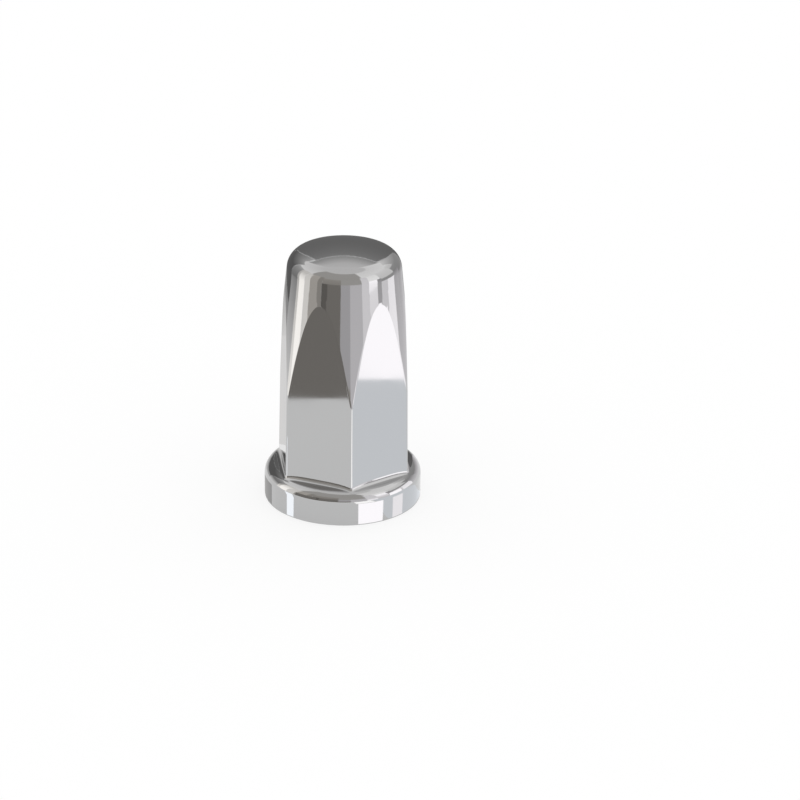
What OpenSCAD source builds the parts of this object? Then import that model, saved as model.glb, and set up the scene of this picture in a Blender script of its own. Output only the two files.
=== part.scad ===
// Push-on cap that covers a wheel nut and the end of its stud.
// Origin at the middle of the open rim, +Z towards the closed crown, millimetres.

/* [Nut] */
// Width across the flats of the wheel nut under the cap
nut_af = 33; // [30:0.5:38]
// How far the nut's washer reaches past its flats
washer_reach = 6.5; // [5.5:0.5:9]
// Room between that washer and the inside of the flange, on each side
washer_gap = 0.3; // [0.2:0.1:1]

/* [Body] */
// Height from the open rim to the middle of the crown
height = 86.6; // [78:0.1:100]
// Thickness of the moulded wall
wall = 2.2; // [1.6:0.1:2.8]
// Lean of each flat towards the axis, so that the cap leaves its mould, in degrees
draft = 0.8; // [0.25:0.05:1.25]
// How far each long edge between two flats is cut back from sharp
edge_relief = 0.25; // [0.1:0.05:0.5]

/* [Crown] */
// Height at which the round taper starts to cut the six edges away
taper_start = 37.5; // [30:0.5:46]
// Angle of that taper to the axis, in degrees
taper = 5.75; // [4.5:0.05:6.5]
// Radius of the rounded shoulder between the taper and the dome
shoulder_r = 6; // [4:0.5:8]
// Radius of the shallow dome on the closed end
dome_r = 45; // [26:1:90]

/* [Flange] */
// Height of the flange's upright wall above the rim
flange_wall_h = 7.6; // [7:0.1:10]
// Radius of the round that leads from that wall to the body
flange_round = 3.8; // [3:0.1:4.5]
// Radius of the fillet where the flats stand on the flange
foot_round = 1.6; // [0.8:0.1:1.8]
// Radius of the rim's outer edge
rim_round = 0.4; // [0.2:0.1:0.8]

/* [Grip ribs] */
// Height of a rib above the inside of its flat, at the open rim
rib_h = 1.3; // [1.1:0.1:2]
// How far a rib's tip bites into the nut's flat
grip = 0.05; // [0:0.01:0.15]
// Thickness of a rib
rib_w = 1.2; // [0.8:0.1:1.6]
// Distance between the two ribs on a flat
rib_pitch = 10; // [6:0.5:13]
// Length of a rib, along the axis
rib_len = 20; // [14:0.5:24]
// Distance from the socket's mouth to the start of a rib
rib_inset = 1; // [0.5:0.5:3]
// Length of the slope that leads the nut in between the ribs
lead_in = 2.5; // [1:0.5:4]

/* [Notch] */
// Width of the notch in the rim, where a lever lifts the cap off
notch_w = 5; // [4.5:0.5:8]
// Height of that notch above the rim
notch_h = 5.5; // [4.5:0.1:6.5]

/* [Hidden] */
$fn = 96;

// Flats round the body, the direction that the first one faces, and its edge-to-flat cosine
sides = 6;
first_flat = 90;
corner_cos = cos(180 / sides);

// How far a cut runs past the surface that it opens
past = 1;

// Flange: its height, its radius and the top of the recess under it
flange_h = flange_wall_h + flange_round;
flange_r = nut_af / 2 + washer_reach + washer_gap + wall;
recess_top = flange_h - wall;

// Distance from the axis to a flat at the open rim, and height of the middle of the dome's sphere
flat_r = nut_af / 2 + rib_h + wall;
dome_z = height - dome_r;

// Distance from the axis to a flat, at height z and a given depth under the outer skin
function apothem(z, depth = 0) = flat_r - depth / cos(draft) - z * tan(draft);

// Distance from the axis to the edge between two flats, with its relief
function edge_r(z, depth = 0) = apothem(z, depth) / corner_cos - edge_relief;

// Fillet from an edge to the flange's round: its middle, and the point where it touches the round
edge_foot = edge_r(flange_h);
foot_reach = max(edge_foot + foot_round - (flange_r - flange_round), 0);
foot_rise = sqrt((flange_round + foot_round) ^ 2 - foot_reach ^ 2);
foot_mid = [edge_foot + foot_round, flange_wall_h + foot_rise];
foot_touch = foot_mid - foot_round / (flange_round + foot_round) * [foot_reach, foot_rise];

// Distance from the axis to the round taper
function taper_r(z, depth = 0) =
    apothem(taper_start) / corner_cos - (z - taper_start) * tan(taper) - depth / cos(taper);

// Height at which the taper meets the relieved edges
function taper_meets(depth = 0) =
    (taper_r(0, depth) - edge_r(0, depth)) / (tan(taper) - tan(draft) / corner_cos);

// Middle of the shoulder's arc: mid_r and mid_up place it against the middle of the dome's sphere,
// so that the arc touches both the taper and the dome
lean = tan(taper);
level_r = taper_r(dome_z, shoulder_r);
mid_span = dome_r - shoulder_r;
mid_up = (level_r * lean + sqrt(mid_span ^ 2 * (1 + lean ^ 2) - level_r ^ 2)) / (1 + lean ^ 2);
mid_r = level_r - mid_up * lean;
shoulder_mid = [mid_r, dome_z + mid_up];

// Section from the axis to radius r and height h, with a round of its own at the top outside
module rounded_section(r, h, round) {
    square([r, h - round]);
    square([r - round, h]);
    translate([r - round, h - round])
        circle(r = round);
}

// Section of the turned form that the flats are cut from, at a given depth under the outer skin:
// relieved edges and taper up to where the shoulder touches it, then the shoulder, then the dome
module turned_section(depth) {
    meet = taper_meets(depth);
    touch = shoulder_mid + (shoulder_r - depth) * [cos(taper), sin(taper)];
    beyond = shoulder_mid + [mid_r, mid_up];
    polygon([
        [0, 0],
        [edge_r(0, depth), 0],
        [edge_r(meet, depth), meet],
        touch,
        shoulder_mid,
        [0, shoulder_mid[1]]
    ]);
    translate(shoulder_mid)
        circle(r = shoulder_r - depth);
    intersection() {
        translate([0, dome_z])
            circle(r = dome_r - depth);
        polygon([
            [0, shoulder_mid[1] - shoulder_r],
            shoulder_mid,
            beyond,
            [beyond[0], height + past],
            [0, height + past]
        ]);
    }
}

// Places its children on each flat, with X pointing out of the flat
module on_each_flat() {
    for (i = [0:sides - 1])
        rotate(first_flat + i * 360 / sides)
            children();
}

// What lies outside one flat, from the open rim up
module outside_flat(depth) {
    reach = 2 * flange_r;
    translate([apothem(0, depth), 0, 0])
        rotate([0, -draft, 0])
            translate([0, -reach / 2, -past])
                cube([reach, reach, height + 2 * past]);
}

// The six-sided body, at a given depth under the outer skin
module body_form(depth = 0) {
    difference() {
        rotate_extrude()
            turned_section(depth);
        on_each_flat()
            outside_flat(depth);
    }
}

// Short cone from the six edges down to the flange's round, as steep as the fillet there is on average
module foot_cone() {
    cone_h = foot_mid[1] - recess_top;
    spread = (foot_touch[0] - edge_foot) / (foot_mid[1] - foot_touch[1]);
    translate([0, 0, recess_top])
        cylinder(r1 = edge_foot + spread * cone_h, r2 = edge_foot, h = cone_h);
}

// Fillet between the flats and the top of the flange, which runs out in that cone at the six edges
module foot_fillet() {
    fillet_top = flange_h + foot_round;
    fillet_x = apothem(fillet_top) + foot_round;
    difference() {
        union() {
            foot_cone();
            translate([0, 0, recess_top])
                cylinder(r = edge_foot, h = fillet_top - recess_top);
        }
        on_each_flat() {
            translate([fillet_x, flange_r, fillet_top])
                rotate([90, 0, 0])
                    cylinder(r = foot_round, h = 2 * flange_r);
            translate([fillet_x, -flange_r, 0])
                cube([flange_r, 2 * flange_r, height]);
        }
    }
}

// The round flange, with the edge of its rim eased
module flange_form() {
    difference() {
        rotate_extrude()
            rounded_section(flange_r, flange_h, flange_round);
        rim_edge();
    }
}

// What the easing takes off the rim's outer edge
module rim_edge() {
    rotate_extrude()
        difference() {
            translate([flange_r - rim_round, -past])
                square([rim_round + past, rim_round + past]);
            translate([flange_r - rim_round, rim_round])
                circle(r = rim_round);
        }
}

// The space under the flange that takes the nut's washer
module washer_recess() {
    translate([0, 0, -past])
        rotate_extrude()
            rounded_section(flange_r - wall, recess_top + past, flange_round - wall);
}

// One rib that grips the nut, on the inside of the flat that faces +X
module grip_rib() {
    tip = nut_af / 2 - grip;
    start = recess_top + rib_inset;
    root = apothem(0, wall / 2);
    translate([0, rib_w / 2, 0])
        rotate([90, 0, 0])
            linear_extrude(height = rib_w)
                polygon([
                    [root, start],
                    [apothem(start, wall), start],
                    [tip, start + lead_in],
                    [tip, start + rib_len],
                    [root, start + rib_len]
                ]);
}

// Notch through the flange's wall, under the flat that faces +Y
module pry_notch() {
    translate([-notch_w / 2, flange_r - 2 * wall, -past])
        cube([notch_w, 3 * wall, notch_h + past]);
}

module cap_shell() {
    color("gainsboro") {
        difference() {
            union() {
                body_form();
                foot_fillet();
                flange_form();
            }
            body_form(wall);
            washer_recess();
            pry_notch();
        }
        on_each_flat()
            for (side = [-1, 1])
                translate([0, side * rib_pitch / 2, 0])
                    grip_rib();
    }
}

cap_shell();
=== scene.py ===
import math

import bmesh
import bpy
from mathutils import Matrix, Vector


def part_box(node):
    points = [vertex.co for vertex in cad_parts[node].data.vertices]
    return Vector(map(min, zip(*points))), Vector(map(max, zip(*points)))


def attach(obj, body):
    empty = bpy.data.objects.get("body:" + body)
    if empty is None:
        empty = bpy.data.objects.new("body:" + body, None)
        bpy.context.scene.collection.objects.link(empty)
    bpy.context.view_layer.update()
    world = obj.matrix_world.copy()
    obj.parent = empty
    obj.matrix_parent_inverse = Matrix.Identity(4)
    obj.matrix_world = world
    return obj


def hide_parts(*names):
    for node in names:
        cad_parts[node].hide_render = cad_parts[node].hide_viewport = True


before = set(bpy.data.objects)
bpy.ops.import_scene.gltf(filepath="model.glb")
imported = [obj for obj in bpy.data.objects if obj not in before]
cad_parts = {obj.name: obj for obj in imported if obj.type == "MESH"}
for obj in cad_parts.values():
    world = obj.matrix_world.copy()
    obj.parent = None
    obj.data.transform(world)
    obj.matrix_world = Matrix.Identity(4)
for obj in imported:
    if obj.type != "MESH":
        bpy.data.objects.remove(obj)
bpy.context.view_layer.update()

MM = 0.001

# Overall sizes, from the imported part
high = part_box("cap_shell")[1]
HEIGHT = high.z
FLANGE_R = high.x

# The part's own sizes, as its source has them or works them out
WALL = 2.2 * MM
FLAT_R = 20.0 * MM
DRAFT = math.radians(0.8)
TAPER_START = 37.5 * MM
TAPER = math.radians(5.75)
SHOULDER_R = 6.0 * MM
DOME_R = 45.0 * MM
FLANGE_WALL_H = 7.6 * MM
FLANGE_ROUND = 3.8 * MM
FOOT_ROUND = 1.6 * MM
RIM_ROUND = 0.4 * MM
RIB_TIP = 16.45 * MM
RIB_W = 1.2 * MM
RIB_PITCH = 10.0 * MM
RIB_LEN = 20.0 * MM
RIB_INSET = 1.0 * MM
LEAD_IN = 2.5 * MM
NOTCH_W = 5.0 * MM
NOTCH_H = 5.5 * MM

# Small roundings that only this mesh has
EDGE_ROUND = 1.2 * MM
INSIDE_EDGE_ROUND = 0.8 * MM
MOUTH_ROUND = 0.5 * MM
NOTCH_ROUND = 0.25 * MM
RIM_INSIDE_ROUND = 0.25 * MM
# Faces across the notch's rounding, and how far past a rounding the next row of points lies
NOTCH_SEGMENTS = 3
SUPPORT = 0.1 * MM

# Finishes of the plating: colour, least and greatest roughness, and height of the ripple
FINISHES = {
    "chrome_bright": ((0.485, 0.486, 0.488), (0.04, 0.08), 0.0005 * MM),
    # The inside's colour is lighter than the outside's: painted light that offsets the shade in the
    # cavity. Its greater roughness is the dull plating's own.
    "chrome_inside_painted_lighter": ((0.62, 0.62, 0.63), (0.34, 0.46), 0.003 * MM),
}
# Places of those finishes in the mesh's list of materials
# The second place holds the dull plating, whose colour is painted lighter against the cavity's shade
BRIGHT, DULL_AND_PAINTED_LIGHTER = 0, 1
# Scale per metre and detail of the haze that varies the roughness, and of the ripple
HAZE_SCALE, HAZE_DETAIL = 60, 4
RIPPLE_SCALE, RIPPLE_DETAIL = 140, 1
# Noise values between which the haze goes from its least to its greatest
HAZE_FROM, HAZE_TO = 0.3, 0.7

# Rows of faces on each stretch of a skin, from the rim to the crown
OUTER_ROWS = {
    "rim": 4, "flange": 16, "foot": 6, "wall": 9, "arches": 44, "taper": 7, "shoulder": 14, "dome": 16,
}
INNER_ROWS = {
    "rim": 2, "recess": 4, "mouth": 3, "ribs": 3, "socket": 2, "arches": 16, "taper": 4, "shoulder": 5,
    "dome": 6,
}
# Columns of a skin, as shares of the way from the middle of a flat to its end
OUTER_SHARES = [0, 0.2, 0.45, 0.7, 0.9, 0.985, 1]
INNER_SHARES = [0, 0.2, 0.45, 0.58, 0.78, 0.985, 1]
# Edges at more than the first angle are sharp, and round the notch those over the second are rounded
SHARP_OVER = math.radians(28)
ROUNDED_OVER = math.radians(50)
# Heights in metres or angles in radians that differ by less than this are the same
SAME = 1e-7
# How far past the notch's own width and height a point still belongs to it
NEAR = 0.01 * MM

SIDES = 6
HALF_SIDE = math.pi / SIDES
NOTCH_SECTOR = 0
FLANGE_H = FLANGE_WALL_H + FLANGE_ROUND
RECESS_TOP = FLANGE_H - WALL
RECESS_R = FLANGE_R - WALL
FLANGE_ROUND_R = FLANGE_R - FLANGE_ROUND
RIB_START = RECESS_TOP + RIB_INSET
RIB_END = RIB_START + RIB_LEN
DOME_Z = HEIGHT - DOME_R


def mix(a, b, share):
    """The value that lies a share of the way from a to b."""
    return a + (b - a) * share


def smooth_step(value, start, end):
    """0 before start, 1 after end, and a smooth rise between them."""
    share = min(max((value - start) / (end - start), 0), 1)
    return share * share * (3 - 2 * share)


def apothem(z, depth):
    """Distance from the axis to a flat, at a depth under the outer skin."""
    return FLAT_R - depth / math.cos(DRAFT) - z * math.tan(DRAFT)


def taper_r(z, depth):
    """Distance from the axis to the round taper, at a depth under the outer skin."""
    at_start = apothem(TAPER_START, 0) / math.cos(HALF_SIDE)
    return at_start - (z - TAPER_START) * math.tan(TAPER) - depth / math.cos(TAPER)


def shoulder_middle():
    """Middle of the shoulder's arc, which touches the taper and the dome's sphere."""
    lean = math.tan(TAPER)
    level_r = taper_r(DOME_Z, SHOULDER_R)
    span = DOME_R - SHOULDER_R
    up = (level_r * lean + math.sqrt(span**2 * (1 + lean**2) - level_r**2)) / (1 + lean**2)
    return level_r - up * lean, DOME_Z + up


# The shoulder: its middle, the angle at which the dome takes over, and where the taper touches it
MID_R, MID_Z = shoulder_middle()
DOME_EDGE = math.atan2(MID_Z - DOME_Z, MID_R)
TOUCH_Z = MID_Z + SHOULDER_R * math.sin(TAPER)


def tip_z(depth):
    """Height at which the flats run out into the taper."""
    return (taper_r(0, depth) - apothem(0, depth)) / (math.tan(TAPER) - math.tan(DRAFT))


def fillet_side(z, depth, edge_round):
    """How far from the middle of a flat the rounding of its edge starts."""
    a, ring = apothem(z, depth), taper_r(z, depth)
    if ring <= a:
        return 0.0
    reach = math.sqrt((ring - edge_round) ** 2 - (a - edge_round) ** 2)
    return min(reach, (a - edge_round) * math.tan(HALF_SIDE))


def section_r(t, z, depth, edge_round):
    """Distance from the axis to the body's skin at height z, t radians off the middle of a flat."""
    a, ring = apothem(z, depth), taper_r(z, depth)
    if ring <= a:
        return ring
    side = fillet_side(z, depth, edge_round)
    if t <= math.atan2(side, a):
        return a / math.cos(t)
    mid_a = a - edge_round
    if t <= math.atan2(side, mid_a) + SAME:
        along = mid_a * math.cos(t) + side * math.sin(t)
        return along + math.sqrt(along**2 - mid_a**2 - side**2 + edge_round**2)
    return ring


class Skin:
    """One skin of the shell: columns that follow the flats' edges, and rows from the rim to the crown."""

    # Columns on half a flat, on its edge's rounding and on the taper beside it
    FLAT, FILLET, ARC = 6, 6, 6
    HALF = FLAT + FILLET + ARC
    # Least angle in degrees that the flat's columns spread over, under its tip and above it, and the
    # height over which the one grows into the other
    NARROW, WIDE = 1.5, 12
    WIDENING = 5 * MM
    # Least angle for the rounding, and for the taper's columns
    GAP = math.radians(0.8)
    # Height over which columns at straight sides turn into columns at shares of the flat
    TURNING = 14 * MM

    def __init__(self, depth, edge_round, flat_shares, flat_sides=None, sides_until=0.0):
        self.depth = depth
        self.edge_round = edge_round
        self.flat_shares = flat_shares
        self.flat_sides = flat_sides
        self.sides_until = sides_until
        self.tip = tip_z(depth)

    def angle(self, i, z):
        """Angle of column i off the middle of its flat, at height z."""
        a = apothem(z, self.depth)
        side = fillet_side(z, self.depth, self.edge_round)
        least = mix(self.NARROW, self.WIDE, smooth_step(z, self.tip, self.tip + self.WIDENING))
        flat_end = max(math.atan2(side, a), math.radians(least))
        fillet_end = math.atan2(side, a - self.edge_round)
        fillet_end = min(max(fillet_end, flat_end + self.GAP), HALF_SIDE - self.GAP)
        if i <= self.FLAT:
            t = flat_end * self.flat_shares[i]
            if self.flat_sides and i < self.FLAT:
                straight = math.atan2(min(self.flat_sides[i], side), a)
                t = mix(straight, t, smooth_step(z, self.sides_until, self.sides_until + self.TURNING))
            return t
        if i <= self.FLAT + self.FILLET:
            return mix(flat_end, fillet_end, (i - self.FLAT) / self.FILLET)
        return mix(fillet_end, HALF_SIDE, (i - self.FLAT - self.FILLET) / self.ARC)

    def body_point(self, i, z):
        """A point of the body on column i: its angle, its distance from the axis and its height."""
        t = self.angle(i, z)
        return t, section_r(t, z, self.depth, self.edge_round), z


# Columns of the inner skin up to the ribs' ends, by their distance from the middle of the flat: one for
# the notch, one for each side of a rib, and two between the rib and the flat's end
INNER_SIDES = [
    0,
    apothem(RECESS_TOP, WALL) * NOTCH_W / 2 / RECESS_R,
    RIB_PITCH / 2 - RIB_W / 2,
    RIB_PITCH / 2 + RIB_W / 2,
    7.8 * MM,
    9.4 * MM,
]
outer = Skin(0.0, EDGE_ROUND, OUTER_SHARES)
inner = Skin(WALL, INSIDE_EDGE_ROUND, INNER_SHARES, INNER_SIDES, RIB_END)


def turned(skin, i, r, z):
    """A point on the flange, where the notch's column keeps to the notch's upright side."""
    t = skin.angle(i, FLANGE_H)
    if i == 1 and z <= NOTCH_H:
        t = math.asin(NOTCH_W / 2 / r)
    return t, r, z


def arc_points(mid, radius, start, end, count):
    """Points on an arc in the plane of radius and height, both ends among them."""
    angles = [mix(start, end, k / count) for k in range(count + 1)]
    return [(mid[0] + radius * math.cos(a), mid[1] + radius * math.sin(a)) for a in angles]


def foot(t):
    """Where the foot's fillet has its middle, for a column t radians off the middle of a flat."""
    mid_z = FLANGE_H + FOOT_ROUND
    # The body leans, so its skin is found again at the height that the first round gives
    for _ in range(2):
        mid_r = section_r(t, mid_z, 0, EDGE_ROUND) + FOOT_ROUND
        past = max(mid_r - FLANGE_ROUND_R, 0)
        mid_z = FLANGE_WALL_H + math.sqrt((FLANGE_ROUND + FOOT_ROUND) ** 2 - past**2)
    return mid_r, mid_z


def over_flange(share, mid_r, mid_z):
    """A point on the way from the flange's wall, over its round and its top, to the foot's fillet."""
    turn = math.atan2(mid_z - FLANGE_WALL_H, max(mid_r - FLANGE_ROUND_R, 0))
    level = max(FLANGE_ROUND_R - mid_r, 0)
    run = share * (turn * FLANGE_ROUND + level)
    if run <= turn * FLANGE_ROUND:
        a = run / FLANGE_ROUND
        return FLANGE_ROUND_R + FLANGE_ROUND * math.cos(a), FLANGE_WALL_H + FLANGE_ROUND * math.sin(a)
    return FLANGE_ROUND_R - (run - turn * FLANGE_ROUND), FLANGE_H


def foot_arc(share, mid_r, mid_z):
    """A point on the foot's fillet, from the flange up to the body."""
    turn = math.atan2(mid_z - FLANGE_WALL_H, max(mid_r - FLANGE_ROUND_R, 0))
    a = mix(math.pi + turn, math.pi, share)
    return mid_r + FOOT_ROUND * math.cos(a), mid_z + FOOT_ROUND * math.sin(a)


def crown_rows(depth, rows):
    """Radius and height of the rows over the shoulder and the dome, the pole left out."""
    shoulder = arc_points((MID_R, MID_Z), SHOULDER_R - depth, TAPER, DOME_EDGE, rows["shoulder"])
    dome = arc_points((0, DOME_Z), DOME_R - depth, DOME_EDGE, math.pi / 2, rows["dome"])
    return shoulder[1:] + dome[1:-1]


def even_steps(start, end, count):
    """Values from start to end in even steps, start left out."""
    return [mix(start, end, k / count) for k in range(1, count + 1)]


def outer_column(i):
    """The outer skin's points along column i, from the rim to the crown."""
    rows = OUTER_ROWS
    points = [turned(outer, i, r, z) for r, z in
              arc_points((FLANGE_R - RIM_ROUND, RIM_ROUND), RIM_ROUND, -math.pi / 2, 0, rows["rim"])]
    points += [turned(outer, i, FLANGE_R, z) for z in
               (RIM_ROUND + SUPPORT, NOTCH_H / 2, NOTCH_H, FLANGE_WALL_H - SUPPORT, FLANGE_WALL_H)]
    t = outer.angle(i, FLANGE_H)
    mid_r, mid_z = foot(t)
    points += [(t, *over_flange(share, mid_r, mid_z)) for share in even_steps(0, 1, rows["flange"])]
    points += [(t, *foot_arc(share, mid_r, mid_z)) for share in even_steps(0, 1, rows["foot"])]
    for k in range(rows["wall"] + 1):
        share = k / rows["wall"]
        t = outer.angle(i, mix(FLANGE_H, TAPER_START, share))
        z = mix(mid_z + SUPPORT, TAPER_START, share)
        points.append((t, section_r(t, z, 0, EDGE_ROUND), z))
    points += [outer.body_point(i, z) for z in even_steps(TAPER_START, outer.tip, rows["arches"])]
    points += [outer.body_point(i, z) for z in even_steps(outer.tip, TOUCH_Z, rows["taper"])]
    t = outer.angle(i, TOUCH_Z)
    return points + [(t, r, z) for r, z in crown_rows(0, rows)]


def inner_column(i):
    """The inner skin's points along column i, from the rim to the crown."""
    rows = INNER_ROWS
    recess_round = FLANGE_ROUND - WALL
    points = [turned(inner, i, r, z) for r, z in
              arc_points((RECESS_R + RIM_INSIDE_ROUND, RIM_INSIDE_ROUND), RIM_INSIDE_ROUND,
                         -math.pi / 2, -math.pi, rows["rim"])]
    points += [turned(inner, i, RECESS_R, z) for z in (NOTCH_H / 2, NOTCH_H, FLANGE_WALL_H)]
    t = inner.angle(i, RECESS_TOP)
    points += [(t, r, z) for r, z in
               arc_points((FLANGE_ROUND_R, FLANGE_WALL_H), recess_round,
                          0, math.pi / 2, rows["recess"])[1:]]
    mouth_r = section_r(t, RECESS_TOP, WALL, INSIDE_EDGE_ROUND) + MOUTH_ROUND
    points.append((t, mix(FLANGE_ROUND_R, mouth_r, 0.5), RECESS_TOP))
    points += [(t, r, z) for r, z in
               arc_points((mouth_r, RECESS_TOP + MOUTH_ROUND), MOUTH_ROUND,
                          -math.pi / 2, -math.pi, rows["mouth"])]
    heights = [RIB_START, RIB_START + LEAD_IN]
    heights += even_steps(RIB_START + LEAD_IN, RIB_END, rows["ribs"])
    heights += even_steps(RIB_END, TAPER_START, rows["socket"])
    heights += even_steps(TAPER_START, inner.tip, rows["arches"])
    heights += even_steps(inner.tip, TOUCH_Z, rows["taper"])
    points += [inner.body_point(i, z) for z in heights]
    t = inner.angle(i, TOUCH_Z)
    return points + [(t, r, z) for r, z in crown_rows(WALL, rows)]


def place(sector, side, t, r, z):
    """A point of a column, t radians to one side of the middle of a flat, in the part's frame."""
    a = math.pi / 2 + sector * 2 * HALF_SIDE + side * t
    return Vector((r * math.cos(a), r * math.sin(a), z))


# A column is (sector, side, i): those of a flat's middle and of an edge are shared by two neighbours
RING = []
for sector in range(SIDES):
    RING += [(sector, -1, i) for i in range(Skin.HALF, 0, -1)]
    RING += [(sector, 1, i) for i in range(Skin.HALF)]
COLUMN = {key: n for n, key in enumerate(RING)}


def column_number(sector, side, i):
    """Number in the ring of the column i on one side of a flat."""
    return COLUMN[(sector, 1, 0)] if i == 0 else COLUMN[(sector, side, i)]


def skin_points(mesh, column):
    """Adds one skin's points, as a list of rows for each column of the ring."""
    points = [column(i) for i in range(Skin.HALF + 1)]
    return [[mesh.verts.new(place(sector, side, *p)) for p in points[i]] for sector, side, i in RING]


def add_face(mesh, corners, inward=False, finish=BRIGHT):
    """Adds one face, with its corners turned round if it looks inward."""
    face = mesh.faces.new(corners[::-1] if inward else corners)
    face.material_index = finish


def skin_faces(mesh, grid, pole, inward, left_out):
    """Joins one skin's points into faces up to its pole, without the places in left_out."""
    # The inside takes the dull plating, whose colour is painted lighter against the cavity's shade
    finish = DULL_AND_PAINTED_LIGHTER if inward else BRIGHT
    for n, column in enumerate(grid):
        after = grid[(n + 1) % len(grid)]
        for row in range(len(column) - 1):
            if (n, row) not in left_out:
                add_face(mesh, [column[row], after[row], after[row + 1], column[row + 1]], inward, finish)
        add_face(mesh, [column[-1], after[-1], pole], inward, finish)


def row_at(column, z):
    """Number of the first row of a column that lies at height z."""
    return next(k for k, v in enumerate(column) if abs(v.co.z - z) < SAME)


def notch_faces(mesh, out_grid, in_grid):
    """Adds the notch's sides and top, and tells which columns and rows of the skins it opens."""
    before = column_number(NOTCH_SECTOR, -1, 1)
    middle = column_number(NOTCH_SECTOR, 1, 0)
    after = column_number(NOTCH_SECTOR, 1, 1)
    out_top = row_at(out_grid[before], NOTCH_H)
    in_top = row_at(in_grid[before], NOTCH_H)
    for n, inward in ((before, True), (after, False)):
        side = out_grid[n][: out_top + 1] + in_grid[n][in_top::-1]
        add_face(mesh, side, inward)
    for a, b in ((before, middle), (middle, after)):
        corners = [out_grid[a][out_top], out_grid[b][out_top], in_grid[b][in_top], in_grid[a][in_top]]
        add_face(mesh, corners, True)
    return (before, middle), out_top, in_top


def rib_faces(mesh, in_grid, sector, side):
    """Adds one grip rib on the inside of a flat, and tells which places on the skin it takes."""
    near, far = column_number(sector, side, 2), column_number(sector, side, 3)
    first = row_at(in_grid[near], RIB_START)
    last = row_at(in_grid[near], RIB_END)
    # Direction out of the flat, of length 1
    out = place(sector, 1, 0, 1, 0)
    walls = {n: in_grid[n][first : last + 1] for n in (near, far)}
    tips = {}
    for n, wall in walls.items():
        tips[n] = [wall[0]] + [mesh.verts.new(v.co + out * (RIB_TIP - v.co.dot(out))) for v in wall[1:]]
    inward = side > 0
    for k in range(last - first):
        # The rib takes the inside's dull plating, painted lighter against the cavity's shade
        add_face(mesh, [tips[near][k], tips[far][k], tips[far][k + 1], tips[near][k + 1]], inward, DULL_AND_PAINTED_LIGHTER)
        for n, flipped in ((near, not inward), (far, inward)):
            corners = [walls[n][k], tips[n][k], tips[n][k + 1], walls[n][k + 1]]
            # The lead-in starts on the wall itself, so its first side has three corners
            add_face(mesh, corners[1:] if k == 0 else corners, flipped, DULL_AND_PAINTED_LIGHTER)
    add_face(mesh, [walls[near][-1], tips[near][-1], tips[far][-1], walls[far][-1]], inward, DULL_AND_PAINTED_LIGHTER)
    # The place is numbered by the column before it, which is the last one where the ring closes
    start = min(near, far) if abs(near - far) == 1 else max(near, far)
    return {(start, row) for row in range(first, last)}


def rim_faces(mesh, out_grid, in_grid, left_out):
    """The ring at the bottom that joins the two skins, without the columns in left_out."""
    for n in range(len(RING)):
        if n not in left_out:
            m = (n + 1) % len(RING)
            add_face(mesh, [in_grid[n][0], in_grid[m][0], out_grid[m][0], out_grid[n][0]])


def mark_edges(mesh, angle):
    """Smooth shading, broken only where two faces meet at more than the angle."""
    for face in mesh.faces:
        face.smooth = True
    for edge in mesh.edges:
        edge.smooth = len(edge.link_faces) == 2 and edge.calc_face_angle(0) < angle


def round_notch(mesh):
    """Rounds the sharp edges round the notch."""
    reach_x, reach_z = NOTCH_W / 2 + NEAR, NOTCH_H + NEAR
    edges = [
        e for e in mesh.edges
        if all(v.co.y > 0 and abs(v.co.x) <= reach_x and v.co.z <= reach_z for v in e.verts)
        and e.calc_face_angle(0) > ROUNDED_OVER
    ]
    bmesh.ops.bevel(mesh, geom=edges, offset=NOTCH_ROUND, segments=NOTCH_SEGMENTS, profile=0.5,
                    affect="EDGES")


def shell_mesh():
    """The whole cap as one closed mesh, with the inside marked for the dull plating, whose colour is
    painted lighter against the cavity's shade.
    """
    mesh = bmesh.new()
    out_grid = skin_points(mesh, outer_column)
    in_grid = skin_points(mesh, inner_column)
    out_pole = mesh.verts.new((0, 0, HEIGHT))
    in_pole = mesh.verts.new((0, 0, HEIGHT - WALL))
    notch_columns, out_top, in_top = notch_faces(mesh, out_grid, in_grid)
    out_gone = {(n, row) for n in notch_columns for row in range(out_top)}
    in_gone = {(n, row) for n in notch_columns for row in range(in_top)}
    for sector in range(SIDES):
        for side in (-1, 1):
            in_gone |= rib_faces(mesh, in_grid, sector, side)
    skin_faces(mesh, out_grid, out_pole, False, out_gone)
    skin_faces(mesh, in_grid, in_pole, True, in_gone)
    rim_faces(mesh, out_grid, in_grid, notch_columns)
    round_notch(mesh)
    bmesh.ops.recalc_face_normals(mesh, faces=mesh.faces)
    mark_edges(mesh, SHARP_OVER)
    return mesh


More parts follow.
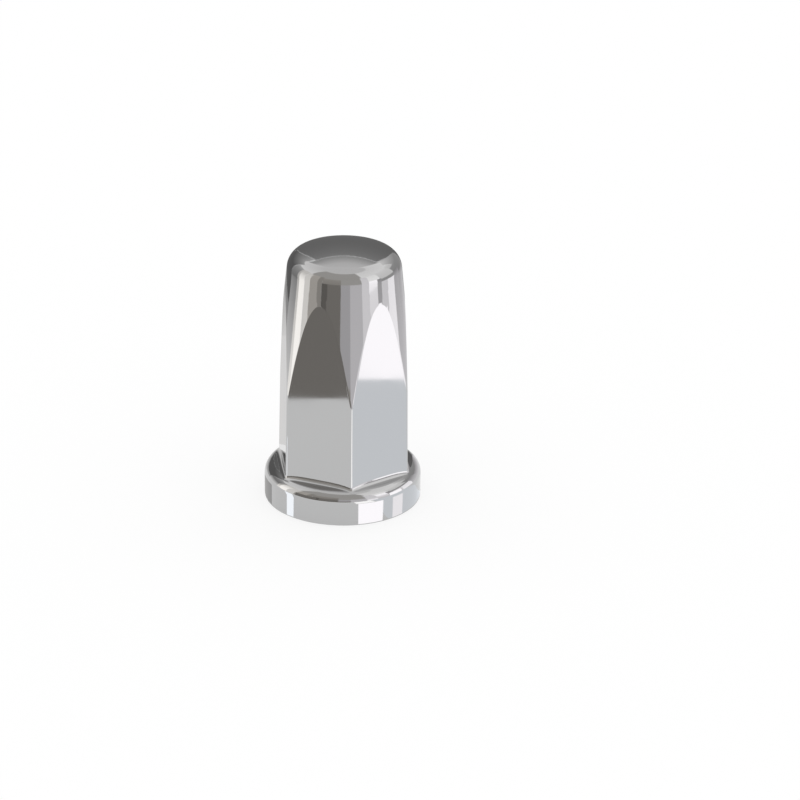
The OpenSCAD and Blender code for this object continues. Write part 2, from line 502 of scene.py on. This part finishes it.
def chrome(name, colour, roughness, ripple):
    """Bright plating: a mirror with a faint haze that varies, over a moulding with a faint ripple."""
    material = bpy.data.materials.new(name)
    material.use_nodes = True
    nodes, links = material.node_tree.nodes, material.node_tree.links
    shader = nodes["Principled BSDF"]
    shader.inputs["Base Color"].default_value = (*colour, 1)
    shader.inputs["Metallic"].default_value = 1
    place_node = nodes.new("ShaderNodeTexCoord")
    haze = nodes.new("ShaderNodeTexNoise")
    haze.inputs["Scale"].default_value = HAZE_SCALE
    haze.inputs["Detail"].default_value = HAZE_DETAIL
    haze_range = nodes.new("ShaderNodeMapRange")
    haze_range.inputs["From Min"].default_value = HAZE_FROM
    haze_range.inputs["From Max"].default_value = HAZE_TO
    haze_range.inputs["To Min"].default_value = roughness[0]
    haze_range.inputs["To Max"].default_value = roughness[1]
    wave = nodes.new("ShaderNodeTexNoise")
    wave.inputs["Scale"].default_value = RIPPLE_SCALE
    wave.inputs["Detail"].default_value = RIPPLE_DETAIL
    bump = nodes.new("ShaderNodeBump")
    bump.inputs["Strength"].default_value = 1
    bump.inputs["Distance"].default_value = ripple
    links.new(place_node.outputs["Object"], haze.inputs["Vector"])
    links.new(place_node.outputs["Object"], wave.inputs["Vector"])
    links.new(haze.outputs["Fac"], haze_range.inputs["Value"])
    links.new(haze_range.outputs["Result"], shader.inputs["Roughness"])
    links.new(wave.outputs["Fac"], bump.inputs["Height"])
    links.new(bump.outputs["Normal"], shader.inputs["Normal"])
    return material


def build_cap():
    """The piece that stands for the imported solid."""
    mesh = shell_mesh()
    data = bpy.data.meshes.new("chrome_cap")
    mesh.to_mesh(data)
    mesh.free()
    cap = bpy.data.objects.new("chrome_cap", data)
    bpy.context.scene.collection.objects.link(cap)
    for name, finish in FINISHES.items():
        data.materials.append(chrome(name, *finish))
    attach(cap, "root")
    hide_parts("cap_shell")


# The studio's white: how bright it is to look at and as light, the floor sheet's side in metres, how much
# of the sheet's brightness is its own, and how much light its paper returns
WHITE_SEEN = 1.0
WHITE_AS_LIGHT = 0.9
FLOOR_SIDE = 6
FLOOR_GLOW = 0.73
FLOOR_PAPER = 0.3


def seen_directly(nodes):
    """1 for rays from the camera, in a mirror or through glass, and 0 for the rays that light things."""
    path = nodes.new("ShaderNodeLightPath")
    either = nodes.new("ShaderNodeMath")
    either.operation = "MAXIMUM"
    any_of = nodes.new("ShaderNodeMath")
    any_of.operation = "MAXIMUM"
    links = either.id_data.links
    links.new(path.outputs["Is Camera Ray"], either.inputs[0])
    links.new(path.outputs["Is Glossy Ray"], either.inputs[1])
    links.new(either.outputs[0], any_of.inputs[0])
    links.new(path.outputs["Is Transmission Ray"], any_of.inputs[1])
    return any_of.outputs[0]


def build_world():
    """White to look at, and a little less than white as light."""
    world = bpy.data.worlds.new("studio")
    world.use_nodes = True
    nodes, links = world.node_tree.nodes, world.node_tree.links
    strength = nodes.new("ShaderNodeMapRange")
    strength.inputs["To Min"].default_value = WHITE_AS_LIGHT
    strength.inputs["To Max"].default_value = WHITE_SEEN
    links.new(seen_directly(nodes), strength.inputs["Value"])
    nodes["Background"].inputs["Color"].default_value = (1, 1, 1, 1)
    links.new(strength.outputs["Result"], nodes["Background"].inputs["Strength"])
    bpy.context.scene.world = world


def build_floor():
    """White sheet: mostly its own brightness where it is seen, the rest by the light that reaches it."""
    bpy.ops.mesh.primitive_grid_add(x_subdivisions=4, y_subdivisions=4, size=FLOOR_SIDE)
    floor = bpy.context.active_object
    floor.name = "floor_sheet"
    material = bpy.data.materials.new("floor_white")
    material.use_nodes = True
    nodes, links = material.node_tree.nodes, material.node_tree.links
    nodes.remove(nodes["Principled BSDF"])
    glow = nodes.new("ShaderNodeEmission")
    paper = nodes.new("ShaderNodeBsdfDiffuse")
    paper.inputs["Color"].default_value = (FLOOR_PAPER, FLOOR_PAPER, FLOOR_PAPER, 1)
    both = nodes.new("ShaderNodeAddShader")
    strength = nodes.new("ShaderNodeMath")
    strength.operation = "MULTIPLY"
    strength.inputs[1].default_value = FLOOR_GLOW
    links.new(seen_directly(nodes), strength.inputs[0])
    links.new(strength.outputs[0], glow.inputs["Strength"])
    links.new(glow.outputs[0], both.inputs[0])
    links.new(paper.outputs[0], both.inputs[1])
    links.new(both.outputs[0], nodes["Material Output"].inputs["Surface"])
    floor.data.materials.append(material)


# Where the photograph was taken from: azimuth, elevation and lean in degrees, the distance in metres,
# how far the picture's middle lies from the middle of the open rim, and the lens and film width in mm
VIEW_AZIMUTH, VIEW_ELEVATION, VIEW_ROLL = 22.1, 23.6, 0.93
VIEW_DISTANCE = 1.0
AIM_RIGHT, AIM_UP = 18.31 * MM, 30.38 * MM
LENS, SENSOR_W = 137.45, 36.0


def build_camera():
    """The photograph's own view."""
    data = bpy.data.cameras.new("photo_view")
    data.lens = LENS
    data.sensor_width = SENSOR_W
    camera = bpy.data.objects.new("photo_view", data)
    bpy.context.scene.collection.objects.link(camera)
    a, e = math.radians(VIEW_AZIMUTH), math.radians(VIEW_ELEVATION)
    back = Vector((math.sin(a) * math.cos(e), -math.cos(a) * math.cos(e), math.sin(e)))
    right = Vector((math.cos(a), math.sin(a), 0))
    up = back.cross(right)
    camera.location = back * VIEW_DISTANCE + right * AIM_RIGHT + up * AIM_UP
    level = Matrix((right, up, back)).transposed()
    camera.rotation_mode = "QUATERNION"
    camera.rotation_quaternion = (level @ Matrix.Rotation(math.radians(VIEW_ROLL), 3, "Z")).to_quaternion()
    bpy.context.scene.camera = camera


# Studio cards that the plating mirrors and the camera doesn't see. Azimuth 0 is the side that faces
# -Y, and it grows towards +X. Lengths are in mm, from the part's axis and the floor. A brightness is a
# factor on white.

# Tints of their light
NEUTRAL = (1, 0.99, 0.985)
WARM = (1, 0.94, 0.87)
SOFT_WARM = (1, 0.97, 0.93)
MAUVE = (1, 0.975, 1)
COOL = (0.93, 0.96, 1)

# Bent round the part: azimuth where it starts and ends, distance, height and brightness of its lower
# edge and of its upper edge, and tint
BANDS = {
    "front_streak": (-19, -8, (140, 0, 0.19), (215, 80, 0.19), WARM),
    "front_low": (-8, 17, (140, 0, 0.27), (215, 80, 0.29), WARM),
    "front_high": (-19, 17, (215, 80, 0.4), (400, 320, 0.5), WARM),
    "front_right_foot": (17, 34, (140, 0, 0.25), (152, 18, 0.45), WARM),
    "front_right_low": (17, 34, (152, 18, 0.62), (215, 80, 0.64), MAUVE),
    "front_right_mid": (34, 56, (140, 0, 0.88), (215, 80, 0.82), MAUVE),
    "front_right_high": (17, 56, (215, 80, 0.56), (400, 320, 0.56), SOFT_WARM),
    "pale_right_foot": (56, 70, (140, 0, 1.9), (150, 30, 1.2), MAUVE),
    "pale_right": (56, 70, (150, 30, 1.15), (400, 400, 1.05), MAUVE),
    "right_low": (70, 87, (140, 0, 1.0), (152, 50, 1.4), MAUVE),
    "right_softbox": (70, 87, (152, 50, 1.7), (170, 105, 1.9), MAUVE),
    "right_high": (70, 94, (170, 105, 1.45), (400, 420, 1.2), NEUTRAL),
    "right_streak": (87, 97, (140, 0, 0.8), (170, 105, 0.45), MAUVE),
    "right_back_glow": (97, 112, (140, 0, 1.1), (153, 62, 1.1), MAUVE),
    "right_back_softbox": (112, 132, (140, 0, 1.7), (153, 62, 1.5), MAUVE),
    "right_back_spot": (97, 132, (153, 62, 0.5), (172, 95, 0.5), NEUTRAL),
    "right_back_high": (94, 132, (172, 95, 1.0), (400, 450, 1.25), NEUTRAL),
    "right_edge": (132, 150, (140, 0, 0.95), (172, 95, 0.42), MAUVE),
    "right_edge_mid": (132, 150, (172, 95, 0.42), (230, 175, 0.5), NEUTRAL),
    "right_edge_high": (132, 150, (230, 175, 0.9), (400, 450, 1.25), NEUTRAL),
    "back_low": (150, 180, (140, 0, 1.0), (152, 55, 0.5), MAUVE),
    "back_mid": (150, 180, (152, 55, 0.4), (215, 150, 0.45), NEUTRAL),
    "back_high": (150, 180, (215, 150, 0.48), (330, 440, 1.2), NEUTRAL),
    "back_dark_low": (180, 223, (140, 0, 0.6), (146, 30, 0.3), NEUTRAL),
    "back_dark": (180, 223, (146, 30, 0.15), (300, 362, 0.34), NEUTRAL),
    "left_back_low": (223, 262, (140, 0, 0.75), (148, 28, 0.4), NEUTRAL),
    "left_back_dark": (223, 262, (148, 28, 0.16), (200, 122, 0.16), NEUTRAL),
    "left_back_high": (223, 262, (200, 122, 0.17), (330, 370, 0.62), NEUTRAL),
    "left_grey_low": (262, 284, (140, 0, 1.1), (152, 46, 0.36), NEUTRAL),
    "left_grey": (262, 284, (152, 46, 0.3), (400, 340, 0.75), NEUTRAL),
    "left_pale_low": (284, 290, (140, 0, 1.6), (152, 46, 0.9), SOFT_WARM),
    "left_pale": (284, 290, (152, 46, 0.8), (400, 350, 1.0), SOFT_WARM),
    "left_softbox": (290, 304, (140, 0, 1.9), (150, 42, 1.8), SOFT_WARM),
    "left_softbox_top": (290, 304, (150, 42, 1.8), (190, 150, 1.0), SOFT_WARM),
    "left_softbox_fade": (290, 304, (190, 150, 1.0), (400, 360, 0.95), SOFT_WARM),
    "left_glow": (304, 315.5, (140, 0, 1.2), (400, 360, 0.95), SOFT_WARM),
    "left_warm": (315.5, 332, (140, 0, 0.62), (400, 380, 0.66), WARM),
    "left_shade": (332, 341, (140, 0, 0.42), (400, 380, 0.42), WARM),
    "roof_front": (-50, 60, (440, 200, 0.54), (192, 519, 0.56), SOFT_WARM),
    "roof_right": (60, 175, (440, 200, 1.3), (192, 519, 1.1), NEUTRAL),
    "roof_back_edge": (175, 235, (306, 373, 0.42), (254, 439, 0.8), NEUTRAL),
    "roof_back": (175, 235, (254, 439, 0.8), (192, 519, 0.88), NEUTRAL),
    "roof_left": (235, 310, (440, 200, 1.25), (192, 519, 0.88), NEUTRAL),
    "roof_top": (0, 360, (192, 519, 0.88), (5, 760, 0.86), NEUTRAL),
    "sheet_corner": (38, 58, (44, 0.2, 1.9), (122, 0.2, 1.9), NEUTRAL),
    "sheet_back": (205, 250, (46, 0.1, 0.8), (140, 0.1, 0.8), NEUTRAL),
    "sheet_cool": (60, 115, (26, 0.1, 1.13), (140, 0.1, 1.13), COOL),
}

# Upright boards on the floor: azimuth that each stands at, its distance, half its width, its height,
# its brightness and its tint
BOARDS = {
    "board_left": (-26, 118.4, 32, 42, 0.27, WARM),
    "board_right": (98, 131.3, 24, 42, 1.98, MAUVE),
}

# Sheets on the floor, each seen by the camera as an upright stripe on the flange's wall: azimuths
# on the wall where the stripe starts and ends, length of the sheet away from the wall, brightness, tint
STRIPES = {
    "stripe_left": (-22, -15.5, 60, 1.95, COOL),
    "stripe_right": (35, 54, 17, 2.0, MAUVE),
    "stripe_far_right": (63, 73, 17, 1.6, MAUVE),
    "stripe_far_left": (-64, -42, 17, 0.55, NEUTRAL),
}
# How far a stripe's sheet starts from the wall, and how high it lies
STRIPE_GAP = 0.3
STRIPE_Z = 0.2

# Degrees between two points along a band and along a stripe
BAND_STEP = 4
STRIPE_STEP = 2


def lit_only_in_mirrors(name, points, faces, colours):
    """A stage card with its own light, which only the plating sees, and a colour at each point."""
    data = bpy.data.meshes.new(name)
    data.from_pydata(points, [], faces)
    lights = data.color_attributes.new("light", "FLOAT_COLOR", "POINT")
    for k, colour in enumerate(colours):
        lights.data[k].color = (*colour, 1)
    card = bpy.data.objects.new(name, data)
    bpy.context.scene.collection.objects.link(card)
    material = bpy.data.materials.new(name)
    material.use_nodes = True
    nodes, links = material.node_tree.nodes, material.node_tree.links
    nodes.remove(nodes["Principled BSDF"])
    light = nodes.new("ShaderNodeAttribute")
    light.attribute_name = "light"
    glow = nodes.new("ShaderNodeEmission")
    links.new(light.outputs["Color"], glow.inputs["Color"])
    links.new(glow.outputs[0], nodes["Material Output"].inputs["Surface"])
    data.materials.append(material)
    card.visible_camera = False
    card.visible_diffuse = False
    card.visible_shadow = False


def around(azimuth, distance, height):
    """A point in metres from an azimuth in degrees and a distance and height in mm."""
    a = math.radians(azimuth)
    return Vector((distance * math.sin(a), -distance * math.cos(a), height)) * MM


def strip_card(name, edges, tint, low_level, high_level):
    """A card between two edges, given as pairs of points, with the brightness of either edge."""
    points = [point for pair in edges for point in pair]
    faces = [(2 * k, 2 * k + 2, 2 * k + 3, 2 * k + 1) for k in range(len(edges) - 1)]
    ends = [tuple(c * level for c in tint) for level in (low_level, high_level)]
    lit_only_in_mirrors(name, points, faces, ends * len(edges))


def build_band(name, start, end, lower, upper, tint):
    """A card that is bent round the part."""
    steps = max(1, round((end - start) / BAND_STEP))
    azimuths = [mix(start, end, k / steps) for k in range(steps + 1)]
    edges = [(around(a, *lower[:2]), around(a, *upper[:2])) for a in azimuths]
    strip_card(name, edges, tint, lower[2], upper[2])


def build_board(name, azimuth, distance, half_width, height, level, tint):
    """A flat card that stands on the floor and faces the part."""
    along = around(azimuth + 90, half_width, 0)
    foot, top = around(azimuth, distance, 0), around(azimuth, distance, height)
    strip_card(name, [(foot - along, top - along), (foot + along, top + along)], tint, level, level)


def build_stripe(name, start, end, length, level, tint):
    """A sheet on the floor, from the flange's wall the way that the wall mirrors the photo's view."""
    steps = max(1, round((end - start) / STRIPE_STEP))
    edges = []
    for k in range(steps + 1):
        azimuth = mix(start, end, k / steps)
        near = around(azimuth, FLANGE_R / MM + STRIPE_GAP, STRIPE_Z)
        edges.append((near, near + around(2 * azimuth - VIEW_AZIMUTH, length, 0)))
    strip_card(name, edges, tint, level, level)


def build_cards():
    for build, cards in ((build_band, BANDS), (build_board, BOARDS), (build_stripe, STRIPES)):
        for name, card in cards.items():
            build(name, *card)


build_camera()
build_world()
build_floor()
build_cards()
build_cap()
bpy.context.scene.view_settings.view_transform = "Standard"
